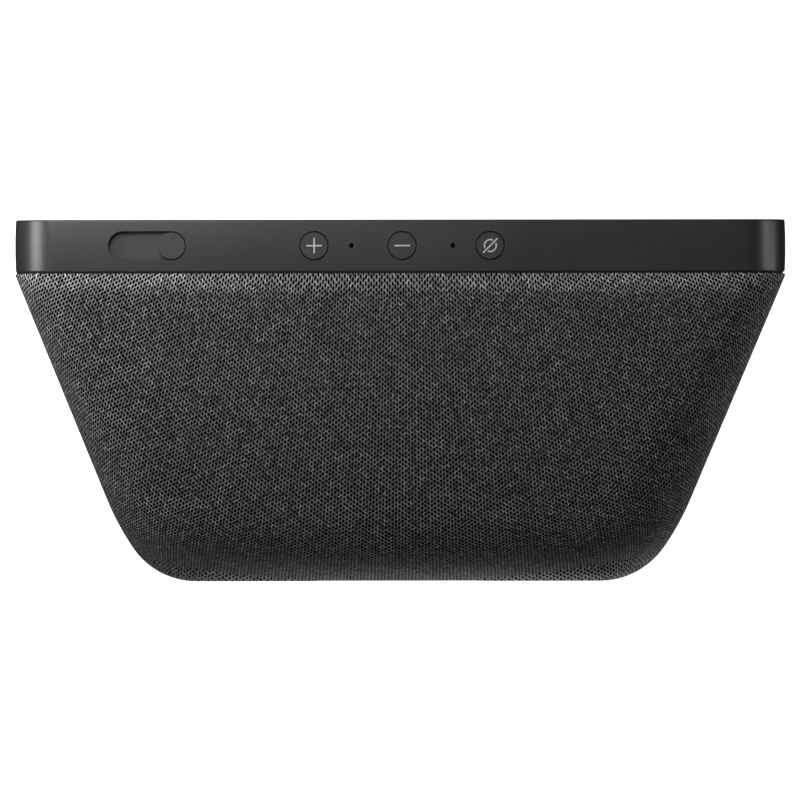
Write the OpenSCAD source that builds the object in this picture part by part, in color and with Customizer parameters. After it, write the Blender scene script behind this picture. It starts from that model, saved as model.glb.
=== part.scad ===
// Smart display: an eight inch screen in a thin front slab, on a tapered body wrapped in
// knitted fabric. The controls are on the slab's top edge: a camera shutter slider, two
// volume buttons, a mute button and two microphone holes.
//
// Row frame: +Z up, the screen faces -Y, X runs along the width. The origin is on the
// table, below the centre of the object's box.
//
// Most pieces are drawn in the screen's own frame, which leans back by "tilt":
// X is the width, Y is the depth behind the glass (d), Z runs up the screen (s).

/* [Overall size] */
// Width of the object
width = 200.4; // [190:0.1:210]
// Height of the object as it stands
height = 135.9; // [132:0.1:140]
// Lean of the screen away from vertical, in degrees
tilt = 11; // [10:0.25:12]

/* [Front slab] */
// Thickness of the slab
slab_t = 13.65; // [13.4:0.05:14]
// Corner radius of the slab's outline
slab_r = 10.5; // [10:0.1:11.5]
// Thickness of the slab's walls
slab_wall = 2.2; // [2.1:0.05:2.3]
// Fillet along the slab's front and rear edges
slab_fillet = 0.45; // [0.2:0.05:0.6]
// Width of the slab's rim around the glass
rim = 1.2; // [1:0.1:1.4]
// Gap between the slab and the fabric
seam = 0.35; // [0.2:0.05:0.5]

/* [Display] */
// Width of the picture area of an 8 inch, 16:10 panel
picture_w = 172.3; // [170:0.1:174]
// Height of the picture area
picture_h = 107.7; // [106:0.1:109]
// Distance of the panel's centre below the slab's
panel_drop = 2.4; // [2.2:0.1:2.6]
// Margin of the panel around the picture
panel_margin = 2.9; // [2:0.1:3.2]

/* [Body] */
// Depth from the slab's front to the rear of the body, square to the screen
body_depth = 94; // [92:0.5:96]
// Angle between the sloping back and the screen's normal, in degrees
back_slope = 45.5; // [44:0.5:47]
// Radius of the back where it turns down
back_r = 62; // [58:1:64]
// Radius of the body's rear bottom edge
under_r = 15; // [13:0.5:16]
// Inward slope of each side, in degrees
side_slope = 22.2; // [21:0.1:24]
// Radius of the body's rear corners, seen from above
corner_r = 20; // [18:0.5:22]
// Radius of the gentler curve that leads into each rear corner
lead_r = 70; // [60:1:80]
// Angle that the gentler curve turns through, in degrees
lead_angle = 12; // [10:0.5:13]
// Thickness of the knitted cover
fabric_t = 0.9; // [0.7:0.1:1]
// Thickness of the housing's wall
housing_t = 2.2; // [1.8:0.1:2.4]
// Thickness of the rubber foot
foot_t = 2.5; // [2.3:0.1:2.8]

/* [Controls] */
// Depth of the controls' centre line behind the slab's front
control_d = 6.8; // [6.6:0.1:7]
// Diameter of the buttons' caps
button_dia = 7.2; // [6.8:0.1:7.4]
// Gap around each button's cap
button_gap = 0.2; // [0.15:0.05:0.3]
// Travel of the buttons
button_travel = 0.4; // [0.2:0.1:0.4]
// Distance between neighbouring buttons
button_pitch = 22.9; // [20:0.1:24]
// Place of the middle button along the width
button_mid_x = -0.4; // [-1:0.1:1]
// Diameter of the microphone holes
mic_dia = 1.2; // [0.8:0.1:1.4]
// Length of the shutter's slot
slot_len = 20.2; // [19:0.1:21]
// Width of the shutter's slot
slot_w = 7.5; // [7.2:0.1:7.8]
// Place of the slot's centre along the width
slot_x = 65.9; // [65:0.1:67]
// Diameter of the shutter's knob
knob_dia = 7.1; // [6.6:0.1:7.1]

/* [Sound] */
// Distance of each driver from the middle
driver_x = 41; // [40:0.5:42]
// Gap between the body's outer face and the baffle
baffle_drop = 8; // [7.5:0.25:9]

/* [Hidden] */
$fn = 64;

// The screen's frame
base_z = foot_t;
lift = base_z + slab_t * sin(tilt);
slab_h = (height - lift) / cos(tilt);
half_w = width / 2;
seam_d = slab_t + seam;

// The back's profile: an edge arc at the seam, a straight slope and the large arc
edge_r = 7;
edge_d = seam_d + 0.7;
back_c = body_depth - back_r;
slope_d = edge_d + edge_r * sin(back_slope);
slope_s = slab_h - edge_r + edge_r * cos(back_slope);
turn_d = back_c + back_r * sin(back_slope);
back_s = slope_s - tan(back_slope) * (turn_d - slope_d) - back_r * cos(back_slope);

// The rear bottom arc
under_d = body_depth - under_r;
base_s = -slab_t * tan(tilt);
under_s = base_s + under_d * tan(tilt) + under_r / cos(tilt);

// The side's profile: a small arc at the seam, a straight taper, the lead-in and the corner
side_r = 2;
bend = side_slope + lead_angle;
corner_d = body_depth - corner_r;
lead_d = corner_d - (lead_r - corner_r) * sin(bend);
taper_end = lead_d + lead_r * sin(side_slope);
taper_w = half_w - side_r + side_r * cos(side_slope)
    - tan(side_slope) * (taper_end - seam_d - side_r * sin(side_slope));
lead_w = taper_w - lead_r * cos(side_slope);
corner_w = lead_w + (lead_r - corner_r) * cos(bend);

// Depth of the whole object, and so the place of the slab's front bottom edge
depth = back_c * cos(tilt) + back_s * sin(tilt) + back_r;
front_y = -depth / 2;

// Sections of the body parallel to the screen: each is a rounded rectangle
corner_steps = 9;
section_r_rear = 20;
section_r_under = 14;
section_grow = 50;

function top_s(d, e) =
    d <= edge_d ? slab_h - e
    : d <= edge_d + (edge_r - e) * sin(back_slope)
        ? slab_h - edge_r + sqrt(pow(edge_r - e, 2) - pow(d - edge_d, 2))
    : d <= back_c + (back_r - e) * sin(back_slope)
        ? slope_s - e / cos(back_slope) - (d - slope_d) * tan(back_slope)
    : back_s + sqrt(max(0, pow(back_r - e, 2) - pow(d - back_c, 2)));

function bottom_s(d, e) =
    d <= under_d + (under_r - e) * sin(tilt)
        ? max(e, base_s + d * tan(tilt) + e / cos(tilt))
    : under_s - sqrt(max(0, pow(under_r - e, 2) - pow(d - under_d, 2)));

function side_w(d, e) =
    d <= seam_d ? half_w - e
    : d <= seam_d + (side_r - e) * sin(side_slope)
        ? half_w - side_r + sqrt(pow(side_r - e, 2) - pow(d - seam_d, 2))
    : d <= lead_d + (lead_r - e) * sin(side_slope)
        ? taper_w - e / cos(side_slope) - (d - taper_end) * tan(side_slope)
    : d <= lead_d + (lead_r - e) * sin(bend)
        ? lead_w + sqrt(pow(lead_r - e, 2) - pow(d - lead_d, 2))
    : corner_w + sqrt(max(0, pow(corner_r - e, 2) - pow(d - corner_d, 2)));

function grow(d, r_end) =
    slab_r + (r_end - slab_r) * min(1, max(0, (d - seam_d) / section_grow));

function arc_points(cx, cs, r, from) =
    [for (i = [0:corner_steps]) let (a = from + 90 * i / corner_steps)
        [cx + r * cos(a), cs + r * sin(a)]];

// One section at depth d, moved inward by e
function section(d, e) =
    let (
        w = side_w(d, e),
        top = top_s(d, e),
        low = bottom_s(d, e),
        want_t = grow(d, section_r_rear) - e,
        want_b = grow(d, section_r_under) - e,
        fit = min(1, 0.98 * (top - low) / (want_t + want_b)),
        rt = want_t * fit,
        rb = want_b * fit
    )
    [for (p = concat(
        arc_points(w - rt, top - rt, rt, 0),
        arc_points(-w + rt, top - rt, rt, 90),
        arc_points(-w + rb, low + rb, rb, 180),
        arc_points(w - rb, low + rb, rb, 270)))
        [p[0], d, p[1]]];

// Depths of the sections: close together where the outline bends
edge_steps = 4;
slope_steps = 3;
rear_steps = 11;
rear_start = 74;
function depths(first, e) = concat(
    [first],
    [for (i = [0:edge_steps]) edge_d + (edge_r - e) * sin(back_slope) * i / edge_steps],
    [for (i = [1:slope_steps]) slope_d + (rear_start - slope_d) * i / (slope_steps + 1)],
    [for (i = [0:rear_steps])
        rear_start + (body_depth - e - rear_start) * sin(90 * i / rear_steps)]);

// Frames of reference
module on_screen() {
    translate([0, front_y, lift]) rotate([-tilt, 0, 0]) children();
}

module on_top_edge(x, s) {
    on_screen() translate([x, control_d, s]) children();
}

// The baffle lies parallel to the sloping back; its own Z points out of the body
baffle_d = 54;
baffle_s = slope_s - baffle_drop / cos(back_slope) - (baffle_d - slope_d) * tan(back_slope);
module on_baffle(x = 0) {
    on_screen() translate([x, baffle_d, baffle_s]) rotate([-back_slope, 0, 0]) children();
}

// Helpers
module rounded(w, h, r) {
    square([w - 2 * r, h], center = true);
    square([w, h - 2 * r], center = true);
    for (x = [-1, 1], y = [-1, 1]) translate([x * (w / 2 - r), y * (h / 2 - r)]) circle(r);
}

module stadium(w, h) {
    r = min(w, h) / 2;
    square([max(w - 2 * r, 0.001), 2 * r], center = true);
    square([2 * r, max(h - 2 * r, 0.001)], center = true);
    for (i = [-1, 1]) translate([i * (w / 2 - r), i * (h / 2 - r)]) circle(r);
}

// A flat piece parallel to the screen, between two depths
module layer(from_d, to_d) {
    translate([0, to_d, 0]) rotate([90, 0, 0]) linear_extrude(to_d - from_d) children();
}

// The slab's outline, moved inward by e
module slab_outline(e) {
    translate([0, slab_h / 2]) rounded(width - 2 * e, slab_h - 2 * e, slab_r - e);
}

// A prism across the width, from an outline of depth and height
module across(w) {
    translate([-w / 2, 0, 0]) rotate([90, 0, 90]) linear_extrude(w) children();
}

// A cylinder along the screen's normal, between two depths
module depth_rod(x, s, from_d, to_d, r) {
    translate([x, to_d, s]) rotate([90, 0, 0]) cylinder(h = to_d - from_d, r = r);
}

// A box in the screen's frame, from its lowest corner to its highest
module block(low, high) {
    translate(low) cube(high - low);
}

// A box and its mirror image across the middle
module block_pair(low, high) {
    for (i = [0, 1]) mirror([i, 0, 0]) block(low, high);
}

// A lofted shell: each list holds [depth, inset] for its sections, from front to rear
module loft_shell(outer, inner) {
    n = 4 * (corner_steps + 1);
    a = len(outer);
    b = len(inner);
    points = [
        for (q = outer) each section(q[0], q[1]),
        for (q = inner) each section(q[0], q[1])
    ];
    faces = concat(
        [for (i = [0:a - 2], k = [0:n - 1]) let (m = (k + 1) % n)
            each [[i * n + k, (i + 1) * n + m, i * n + m],
                  [i * n + k, (i + 1) * n + k, (i + 1) * n + m]]],
        [for (i = [0:b - 2], k = [0:n - 1]) let (m = (k + 1) % n, o = (a + i) * n)
            each [[o + k, o + m, o + n + m], [o + k, o + n + m, o + n + k]]],
        [for (k = [0:n - 1]) let (m = (k + 1) % n, o = a * n)
            each [[k, m, o + m], [k, o + m, o + k]]],
        [[for (k = [0:n - 1]) (a - 1) * n + k]],
        [[for (k = [n - 1:-1:0]) (a + b - 1) * n + k]]);
    polyhedron(points, faces);
}

// ---- Front slab ----
pocket_d = 2.9;
ledge_d = 1.5;
glass_d = 0.1;
glass_t = 1.1;
wall_s = slab_h - slab_wall;
panel_w = picture_w + 2 * panel_margin;
panel_h = picture_h + 2 * panel_margin;
panel_s = slab_h / 2 - panel_drop;
bore_r = button_dia / 2 + button_gap;
button_x = [for (i = [1, 0, -1]) button_mid_x + i * button_pitch];
mic_x = [12.8, -13.6];
boss_r = 2.5;
boss_end_d = 8.5;
pilot_r = 0.85;
rib_end_d = 11.3;
boss_at = [
    [-94.5, 25], [94.5, 25], [-94.5, 108], [94.5, 108],
    [-60, 4.8], [0, 4.8], [60, 4.8], [-40, 127.4], [36.5, 127.4]
];
edge_layers = 3;

// The slab's outline at depth d, moved inward by e
slab_steps = 16;
function slab_ring(d, e) =
    let (r = slab_r - e, x = half_w - slab_r, low = slab_r, high = slab_h - slab_r)
    [for (c = [[x, high, 0], [-x, high, 90], [-x, low, 180], [x, low, 270]], i = [0:slab_steps])
        let (a = c[2] + 90 * i / slab_steps) [c[0] + r * cos(a), d, c[1] + r * sin(a)]];

// The slab's outer form, with filleted front and rear edges
module slab_form() {
    n = 4 * (slab_steps + 1);
    front = [for (i = [0:edge_layers]) let (a = 90 * i / edge_layers)
        [slab_fillet * (1 - cos(a)), slab_fillet * (1 - sin(a))]];
    back = [for (i = [edge_layers:-1:0]) [slab_t - front[i][0], front[i][1]]];
    rings = [for (q = concat(front, back)) slab_ring(q[0], q[1])];
    polyhedron([for (ring = rings) each ring], concat(
        [for (i = [0:len(rings) - 2], k = [0:n - 1]) let (m = (k + 1) % n)
            each [[i * n + k, (i + 1) * n + m, i * n + m],
                  [i * n + k, (i + 1) * n + k, (i + 1) * n + m]]],
        [[for (k = [n - 1:-1:0]) k]],
        [[for (k = [0:n - 1]) (len(rings) - 1) * n + k]]));
}

module slot_cut(extra) {
    on_top_edge(slot_x, wall_s - 1) linear_extrude(slab_wall + 2)
        stadium(slot_len + extra, slot_w + extra);
}

camera_bay_x = [41, 91.2];
camera_bay_s = 120.5;
relief_depth = 6;
rib_x = 31.2;
rib_t = 2;
rib_s = 123.2;
shelf_w = 2.2;
shelf_t = 1.1;
// How far a boss or rib is sunk into the wall that it grows from
sunk = 0.3;
module front_bezel() {
    color("#2b2c2e") {
        difference() {
            on_screen() difference() {
                slab_form();
                layer(-1, ledge_d) slab_outline(rim);
                layer(ledge_d - 1, pocket_d + 1) translate([0, panel_s])
                    rounded(panel_w + 4, panel_h + 3, 2);
                layer(pocket_d, slab_t + 1) slab_outline(slab_wall);
                block([camera_bay_x[0], ledge_d - 1, camera_bay_s], [camera_bay_x[1], pocket_d + 1, wall_s]);
            }
            slot_cut(0);
            for (x = button_x) on_top_edge(x, wall_s - 1) cylinder(h = slab_wall + 2, r = bore_r);
            for (x = button_x) on_top_edge(x, wall_s - relief_depth) cylinder(h = relief_depth, r = flange_r + 0.4);
            for (x = mic_x) on_top_edge(x, wall_s - 1) cylinder(h = slab_wall + 2, d = mic_dia);
        }
        on_screen() for (p = boss_at) difference() {
            depth_rod(p[0], p[1], pocket_d - sunk, boss_end_d, boss_r);
            depth_rod(p[0], p[1], boss_end_d - 4.5, boss_end_d + 1, pilot_r);
        }
        // Ribs that carry the button board
        on_screen() {
            block_pair([rib_x, pocket_d - sunk, rib_s], [rib_x + rib_t, rib_end_d, wall_s + sunk]);
            block_pair([rib_x - shelf_w, pocket_d - sunk, rib_s], [rib_x + sunk, rib_end_d, rib_s + shelf_t]);
        }
    }
}

module cover_glass() {
    color("#08090a") on_screen() layer(glass_d, glass_d + glass_t) slab_outline(rim + 0.1);
}

tape_window_x = 47.8;
tape_window = [40.9, 8.5];
module glass_tape() {
    color("#1a1a1a") on_screen() layer(glass_d + glass_t, ledge_d) difference() {
        slab_outline(rim + 0.5);
        translate([0, panel_s]) rounded(panel_w + 4.4, panel_h + 3.4, 2);
        translate([tape_window_x, camera_bay_s - 0.2]) square(tape_window);
    }
}

panel_layers = [glass_d + glass_t, 1.6, 3.4, 6.4];
module panel_slab(i, inset) {
    on_screen() layer(panel_layers[i], panel_layers[i + 1])
        translate([0, panel_s]) rounded(panel_w - 2 * inset, panel_h - 2 * inset, 1);
}

module touch_sensor() {
    color("#20242a") panel_slab(0, -0.5);
}

module display_panel() {
    color("#14171c") panel_slab(1, 0);
}

module backlight_tray() {
    color("#b8bcc0") panel_slab(2, 0);
}

// Aluminium chassis behind the backlight, with standoffs for the main board
chassis_d = boss_end_d;
chassis_t = 1.2;
board_d = 15;
board_t = 1.4;
standoff_at = [[-68, 24], [68, 24], [-68, 86], [68, 86]];
tab_w = 6;
module chassis_plate() {
    color("#a9adb1") on_screen() difference() {
        union() {
            layer(chassis_d, chassis_d + chassis_t) {
                translate([0, 62.6]) rounded(194.8, 119.6, 8);
                for (p = boss_at) if (p[1] > 120)
                    translate([p[0] - tab_w / 2, 115]) square([tab_w, 15]);
            }
            for (p = standoff_at) depth_rod(p[0], p[1], chassis_d + 0.5, board_d, 2.6);
        }
        for (p = boss_at) depth_rod(p[0], p[1], chassis_d - 2, chassis_d + 3, 1.1);
        for (p = standoff_at) depth_rod(p[0], p[1], board_d - 4, board_d + 1, pilot_r);
        layer(chassis_d - 1, chassis_d + 3) {
            translate([-14, 52]) square([28, 6]);
        }
    }
}

// A pan head screw along the depth, its head's seat at depth d
module depth_screw(x, s, d, length) {
    translate([x, d, s]) rotate([90, 0, 0]) cylinder(h = length, r = 0.8);
    translate([x, d + 1.2, s]) rotate([90, 0, 0]) difference() {
        cylinder(h = 1.2, r = 2);
        translate([0, 0, -0.1]) cylinder(h = 0.8, r = 0.8, $fn = 6);
    }
}

module chassis_screws() {
    color("#8b8e92") on_screen() for (p = boss_at) depth_screw(p[0], p[1], chassis_d + chassis_t, 4.5);
}

// ---- Camera and shutter ----
camera_x = 72.2;
camera_s = 125.4;
lens_d = 2.75;
camera_half_w = 4.2;
camera_half_h = 3.7;
camera_front_d = 4.2;
camera_back_d = 7.6;
module camera_module() {
    color("#1c1d1f") on_screen() {
        translate([camera_x, camera_front_d + 0.1, camera_s]) rotate([90, 0, 0]) difference() {
            cylinder(h = 1.3, r = 3.2);
            translate([0, 0, 0.4]) cylinder(h = 2, r = 2.3);
        }
        block(
            [camera_x - camera_half_w, camera_front_d, camera_s - camera_half_h],
            [camera_x + camera_half_w, camera_back_d, camera_s + camera_half_h]);
    }
}

module camera_lens() {
    color("#101826") on_screen() translate([camera_x, lens_d, camera_s]) rotate([-90, 0, 0])
        rotate_extrude() polygon([
            [0, 0.05], [1.2, 0.12], [1.9, 0.35], [2.2, 0.6], [2.2, 1.1], [0, 1.1]
        ]);
}

camera_board_x = [64.5, 80];
camera_board_s = [122.8, 129.2];
module camera_board() {
    color("#1d4a2f") on_screen()
        block([camera_board_x[0], camera_back_d + 0.05, camera_board_s[0]],
            [camera_board_x[1], camera_back_d + 0.7, camera_board_s[1]]);
}

module light_sensor() {
    color("#2a2530") on_screen() {
        block([84, 3, 124], [87, 4.4, 127]);
        block([82.5, 4.4, 122.8], [88, 5, 129]);
    }
}

knob_r = knob_dia / 2;
shutter_travel = slot_len - slot_w;
knob_x = slot_x - shutter_travel / 2;
knob_proud = 0.2;
knob_bevel = 0.15;
carrier_top = wall_s - 0.06;
carrier_t = 0.8;
carrier_half_d = 4.4;
carrier_reach = slot_len / 2 + 1.2;
module shutter_slider() {
    color("#333436") {
        on_top_edge(knob_x, 0) rotate_extrude() polygon([
            [0, carrier_top - 0.2], [knob_r, carrier_top - 0.2],
            [knob_r, slab_h + knob_proud - knob_bevel],
            [knob_r - knob_bevel, slab_h + knob_proud], [0, slab_h + knob_proud]
        ]);
        on_screen() block(
            [slot_x - carrier_reach - shutter_travel, control_d - carrier_half_d, carrier_top - carrier_t],
            [slot_x + carrier_reach, control_d + carrier_half_d, carrier_top]);
    }
}

vane_w = 9.4;
vane_d = control_d - carrier_half_d;
module shutter_vane() {
    color("#e8e6e0") on_screen()
        block([knob_x - vane_w / 2, vane_d - 0.35, 121.2], [knob_x + vane_w / 2, vane_d, carrier_top]);
}

guide_s = carrier_top - carrier_t - 0.05;
guide_x = [39.7, 91];
guide_t = 0.75;
guide_end_t = 0.8;
module shutter_guide() {
    color("#3a3b3d") on_screen() {
        block([guide_x[0], pocket_d, guide_s - guide_t], [guide_x[1], rib_end_d, guide_s]);
        for (x = [guide_x[0], guide_x[1] - guide_end_t])
            block([x, pocket_d, guide_s - 0.1], [x + guide_end_t, rib_end_d, wall_s - 0.4]);
    }
}

// ---- Buttons ----
cap_r = button_dia / 2;
flange_r = cap_r + 0.75;
flange_top = wall_s - 0.05;
symbol_t = 0.2;
cap_bevel = 0.2;
stem_s = 128;
board_s = 125.4;
switch_t = 1.6;
dome_s = board_s + 0.4;
plunger_low = dome_s + button_travel + 0.3;
module button_blank(x) {
    on_top_edge(x, 0) rotate_extrude() polygon([
        [0, plunger_low], [0.8, plunger_low], [0.8, stem_s], [1.3, stem_s],
        [1.3, flange_top - 0.7], [flange_r, flange_top - 0.7],
        [flange_r, flange_top], [cap_r, flange_top], [cap_r, slab_h - cap_bevel],
        [cap_r - cap_bevel, slab_h], [0, slab_h]
    ]);
}

stroke = 0.36;
module plus_shape() {
    square([4, stroke], center = true);
    square([stroke, 4], center = true);
}

module minus_shape() {
    square([3.95, stroke], center = true);
}

// A ring crossed by a slash, with a gap on each side of the slash
module mute_shape() {
    difference() {
        circle(1.72);
        circle(1.36);
        rotate(45) square([6, 1.1], center = true);
    }
    rotate(45) square([5.3, stroke], center = true);
}

module button_cap(x) {
    difference() {
        button_blank(x);
        on_top_edge(x, slab_h - symbol_t) linear_extrude(1) children();
    }
}

module button_symbol(x) {
    on_top_edge(x, slab_h - symbol_t) linear_extrude(symbol_t) children();
}

module volume_up_button() { color("#2f3032") button_cap(button_x[0]) plus_shape(); }
module volume_down_button() { color("#2f3032") button_cap(button_x[1]) minus_shape(); }
module mute_button() { color("#2f3032") button_cap(button_x[2]) mute_shape(); }
module volume_up_symbol() { color("#a2a3a5") button_symbol(button_x[0]) plus_shape(); }
module volume_down_symbol() { color("#a2a3a5") button_symbol(button_x[1]) minus_shape(); }
module mute_symbol() { color("#a2a3a5") button_symbol(button_x[2]) mute_shape(); }

module button_board() {
    color("#1d4a2f") on_screen() block([-31, 3.1, board_s - 1], [31, 11.2, board_s]);
}

switch_w = 4.5;
module button_switches() {
    color("#3d3d3f") for (x = button_x) on_top_edge(x, board_s) difference() {
        translate([-switch_w / 2, -switch_w / 2, 0]) cube([switch_w, switch_w, switch_t]);
        translate([0, 0, dome_s - board_s]) cylinder(h = 4, r = 1.05);
    }
}

mic_can = [3.5, 2.6, 1];
module microphones() {
    color("#c9b77a") for (x = mic_x) on_top_edge(x, board_s) difference() {
        translate([-mic_can[0] / 2, -mic_can[1] / 2, 0]) cube(mic_can);
        translate([0, 0, mic_can[2] / 2]) cylinder(h = mic_can[2], r = 0.4);
    }
}

module microphone_seals() {
    color("#161616") for (x = mic_x) on_top_edge(x, board_s + 1) difference() {
        cylinder(h = wall_s - board_s - 1, r = 1.9);
        translate([0, 0, -1]) cylinder(h = 9, r = 0.65);
    }
}

// ---- Main board ----
module main_board() {
    color("#17452b") on_screen() difference() {
        layer(board_d, board_d + board_t) translate([0, 55]) rounded(146, 72, 3);
        for (p = standoff_at) depth_rod(p[0], p[1], board_d - 2, board_d + 3, 1);
    }
}

module board_screws() {
    color("#8b8e92") on_screen() for (p = standoff_at) depth_screw(p[0], p[1], board_d + board_t, 4.5);
}

can_d = board_d + board_t;
can_t = 2.2;
module shield_cans() {
    color("#c4c6c8") on_screen() layer(can_d, can_d + can_t) {
        translate([-28, 62]) rounded(40, 34, 1.5);
        translate([24, 62]) rounded(34, 34, 1.5);
    }
}

module board_parts() {
    color("#222326") on_screen() {
        for (x = [-58, -46, 48, 58]) block([x - 3, can_d, 34], [x + 3, can_d + 1.6, 40]);
        block([-8, can_d, 26], [8, can_d + 2, 31]);
        block([50, can_d, 56], [60, can_d + 1.8, 70]);
    }
}

pad_d = can_d + can_t;
module thermal_pads() {
    color("#7d8fa0") on_screen() layer(pad_d, pad_d + 0.6) {
        translate([-28, 62]) square([34, 28], center = true);
        translate([24, 62]) square([28, 28], center = true);
    }
}

sink_d = pad_d + 0.6;
module heat_sink() {
    color("#9ea2a6") on_screen() {
        layer(sink_d, sink_d + 1.2) translate([-2, 62]) square([104, 38], center = true);
        for (i = [-6:6]) block([i * 8 - 2.5, sink_d + 1.1, 44], [i * 8 - 1.5, sink_d + 3.4, 80]);
    }
}

module antennas() {
    color("#b88a4a") on_screen()
        block_pair([72, chassis_d + chassis_t, 92], [92, chassis_d + chassis_t + 0.8, 104]);
}

// Flat cables: each is a thin strip, drawn as a side profile
module display_cable() {
    color("#c9a14a") on_screen() across(20) polygon([
        [6.4, 52.5], [6.4, 57.5], [6.7, 57.5], [6.7, 55.2], [14, 55.2], [14.7, 52.4],
        [15, 52.4], [15, 52.1], [14.5, 52.1], [13.8, 54.9], [6.7, 54.9], [6.7, 52.5]
    ]);
}

module control_cable() {
    color("#c9a14a") on_screen() translate([25, 0, 0]) across(6) polygon([
        [9, 124.1], [11.2, 124.4], [11.2, 124.2], [10.4, 124], [10.4, 111],
        [14.7, 88], [15, 88], [15, 87.7], [14.4, 87.7], [10.1, 110.8], [10.1, 124]
    ]);
}

// ---- Body ----
tongue_e = slab_wall + 0.15;
tongue_d = slab_t - 2.2;
housing_e = fabric_t + 0.1;
inner_e = housing_e + housing_t;

function housing_outer() = concat(
    [[tongue_d, tongue_e], [seam_d, tongue_e]],
    [for (d = depths(seam_d, housing_e)) [d, housing_e]]);
function housing_inner() = concat(
    [[tongue_d, inner_e + 0.8]],
    [for (d = depths(seam_d + 0.4, inner_e)) [d, inner_e]]);
function cover_rings(e) = [for (d = depths(seam_d, e)) [d, e]];

// The base lies in the row frame: its centre is midway along the body's flat underside
base_y = front_y + 47;
module on_base(z) {
    translate([0, base_y, z]) children();
}

base_w = 120;
base_l = 46;
base_r = 14;
module base_opening(clear) {
    on_base(base_z - 1) linear_extrude(8) rounded(base_w + 2 * clear, base_l + 2 * clear, 14);
}

// The recess for the sockets, low on the back
port_w = 44;
port_s = 25.8;
port_h = 12.4;
port_wall = 1.2;
port_drop = 0.3;
port_floor_d = body_depth - 4.6;
module port_box(grow_by, from_d, to_d) {
    on_screen() layer(from_d, to_d) translate([0, port_s])
        rounded(port_w + 2 * grow_by, port_h + 2 * grow_by, 3 + grow_by);
}

module fabric_cover() {
    color("#303133") difference() {
        on_screen() loft_shell(cover_rings(0), cover_rings(fabric_t));
        base_opening(0.3);
        port_box(port_wall + 0.1, body_depth - 12, body_depth + 5);
    }
}

module rear_housing() {
    color("#242527") difference() {
        on_screen() loft_shell(housing_outer(), housing_inner());
        base_opening(-5);
        on_base(base_z - 1) linear_extrude(1 + base_t + 0.05) rounded(base_w + 0.6, base_l + 0.6, base_r);
        port_box(port_wall + 0.1, body_depth - 14, body_depth + 5);
        // Sound windows in front of the drivers and the radiator
        for (i = [-1, 1]) on_baffle(i * driver_x) translate([0, 0, 2]) cylinder(h = 12, r = 23);
        on_baffle() translate([0, 0, 2]) linear_extrude(12) stadium(20, 46);
    }
}

module housing_seal() {
    color("#0c0c0c") on_screen() layer(slab_t, seam_d) difference() {
        slab_outline(0.7);
        slab_outline(slab_wall);
    }
}

// Perforated inserts that back the fabric over the sound windows
grille_hole_pitch = 5;
module driver_grille(x) {
    on_baffle(x) translate([0, 0, baffle_drop - 3.2]) difference() {
        cylinder(h = 2, r = 22.8);
        for (i = [-4:4], j = [-4:4]) {
            x = (i + (j % 2) / 2) * grille_hole_pitch;
            y = j * grille_hole_pitch * 0.866;
            if (x * x + y * y < 380) translate([x, y, -1]) cylinder(h = 4, r = 1.7);
        }
    }
}

module sound_grilles() {
    color("#1c1d1f") {
        for (i = [-1, 1]) driver_grille(i * driver_x);
        on_baffle() translate([0, 0, baffle_drop - 3.2]) difference() {
            linear_extrude(2) stadium(19.6, 45.6);
            for (j = [-3:3]) translate([0, j * 5, -1]) linear_extrude(4) stadium(13, 2.6);
        }
    }
}

base_t = 2;
base_step = 10.6;
base_screw_at = [[-48, -11], [48, -11], [-48, 11], [48, 11]];
module at_base_screws(above) {
    for (p = base_screw_at) on_base(base_z + above) translate([p[0], p[1], 0]) children();
}

module base_plate() {
    color("#202123") difference() {
        union() {
            on_base(base_z) linear_extrude(base_t) rounded(base_w, base_l, base_r);
            on_base(base_z + base_t - 0.1) linear_extrude(base_t)
                rounded(base_w - base_step, base_l - base_step, 13.7);
        }
        at_base_screws(-1) cylinder(h = 9, r = 1.5);
        at_base_screws(-1) cylinder(h = 2.4, r = 2.9);
    }
}

module base_screws() {
    color("#8b8e92") at_base_screws(0) {
        translate([0, 0, 1.4]) cylinder(h = 7.6, r = 1.1);
        translate([0, 0, 0.15]) difference() {
            cylinder(h = 1.25, r = 2.5);
            translate([0, 0, -0.1]) cylinder(h = 0.8, r = 1, $fn = 6);
        }
    }
}

foot_w = 134;
foot_l = 60;
foot_r = 22;
foot_step = 0.6;
foot_rim = 22;
module rubber_foot() {
    color("#141415") difference() {
        union() {
            on_base(0.5) linear_extrude(foot_t - 0.5) rounded(foot_w, foot_l, foot_r);
            on_base(0) linear_extrude(foot_step)
                rounded(foot_w - 2 * foot_step, foot_l - 2 * foot_step, foot_r - foot_step);
        }
        on_base(-1) linear_extrude(1.7) rounded(foot_w - foot_rim, foot_l - foot_rim, 12);
    }
}

// ---- Speaker ----
// The radiator's plate, surround and opening are all stadiums with the same straight sides
radiator_run = 28;
plate_w = 14.4;
opening_w = 22.4;
module radiator_form(w) { stadium(w, w + radiator_run); }

box_front = 26;
box_wall = 2;
box_side = 12;
baffle_t = 2.4;
function under_baffle_s(d, drop) = slope_s - drop / cos(back_slope) - (d - slope_d) * tan(back_slope);
module box_profile(e) {
    drop = baffle_drop + baffle_t + e;
    polygon([
        [box_front + e, under_baffle_s(box_front + e, drop)], [75 - e, under_baffle_s(75 - e, drop)],
        [82 - e, 52], [82 - e, 44 + e], [68 - e, 36 + e], [68 - e, 20 + e], [box_front + e, 12 + e]
    ]);
}

module box_plan(e) {
    near = side_w(box_front, 0) - box_side;
    far = side_w(82, 0) - box_side;
    linear_extrude(160) polygon([
        [-near + e, box_front - 1], [near - e, box_front - 1], [far - e, 83], [-far + e, 83]
    ]);
}

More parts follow.
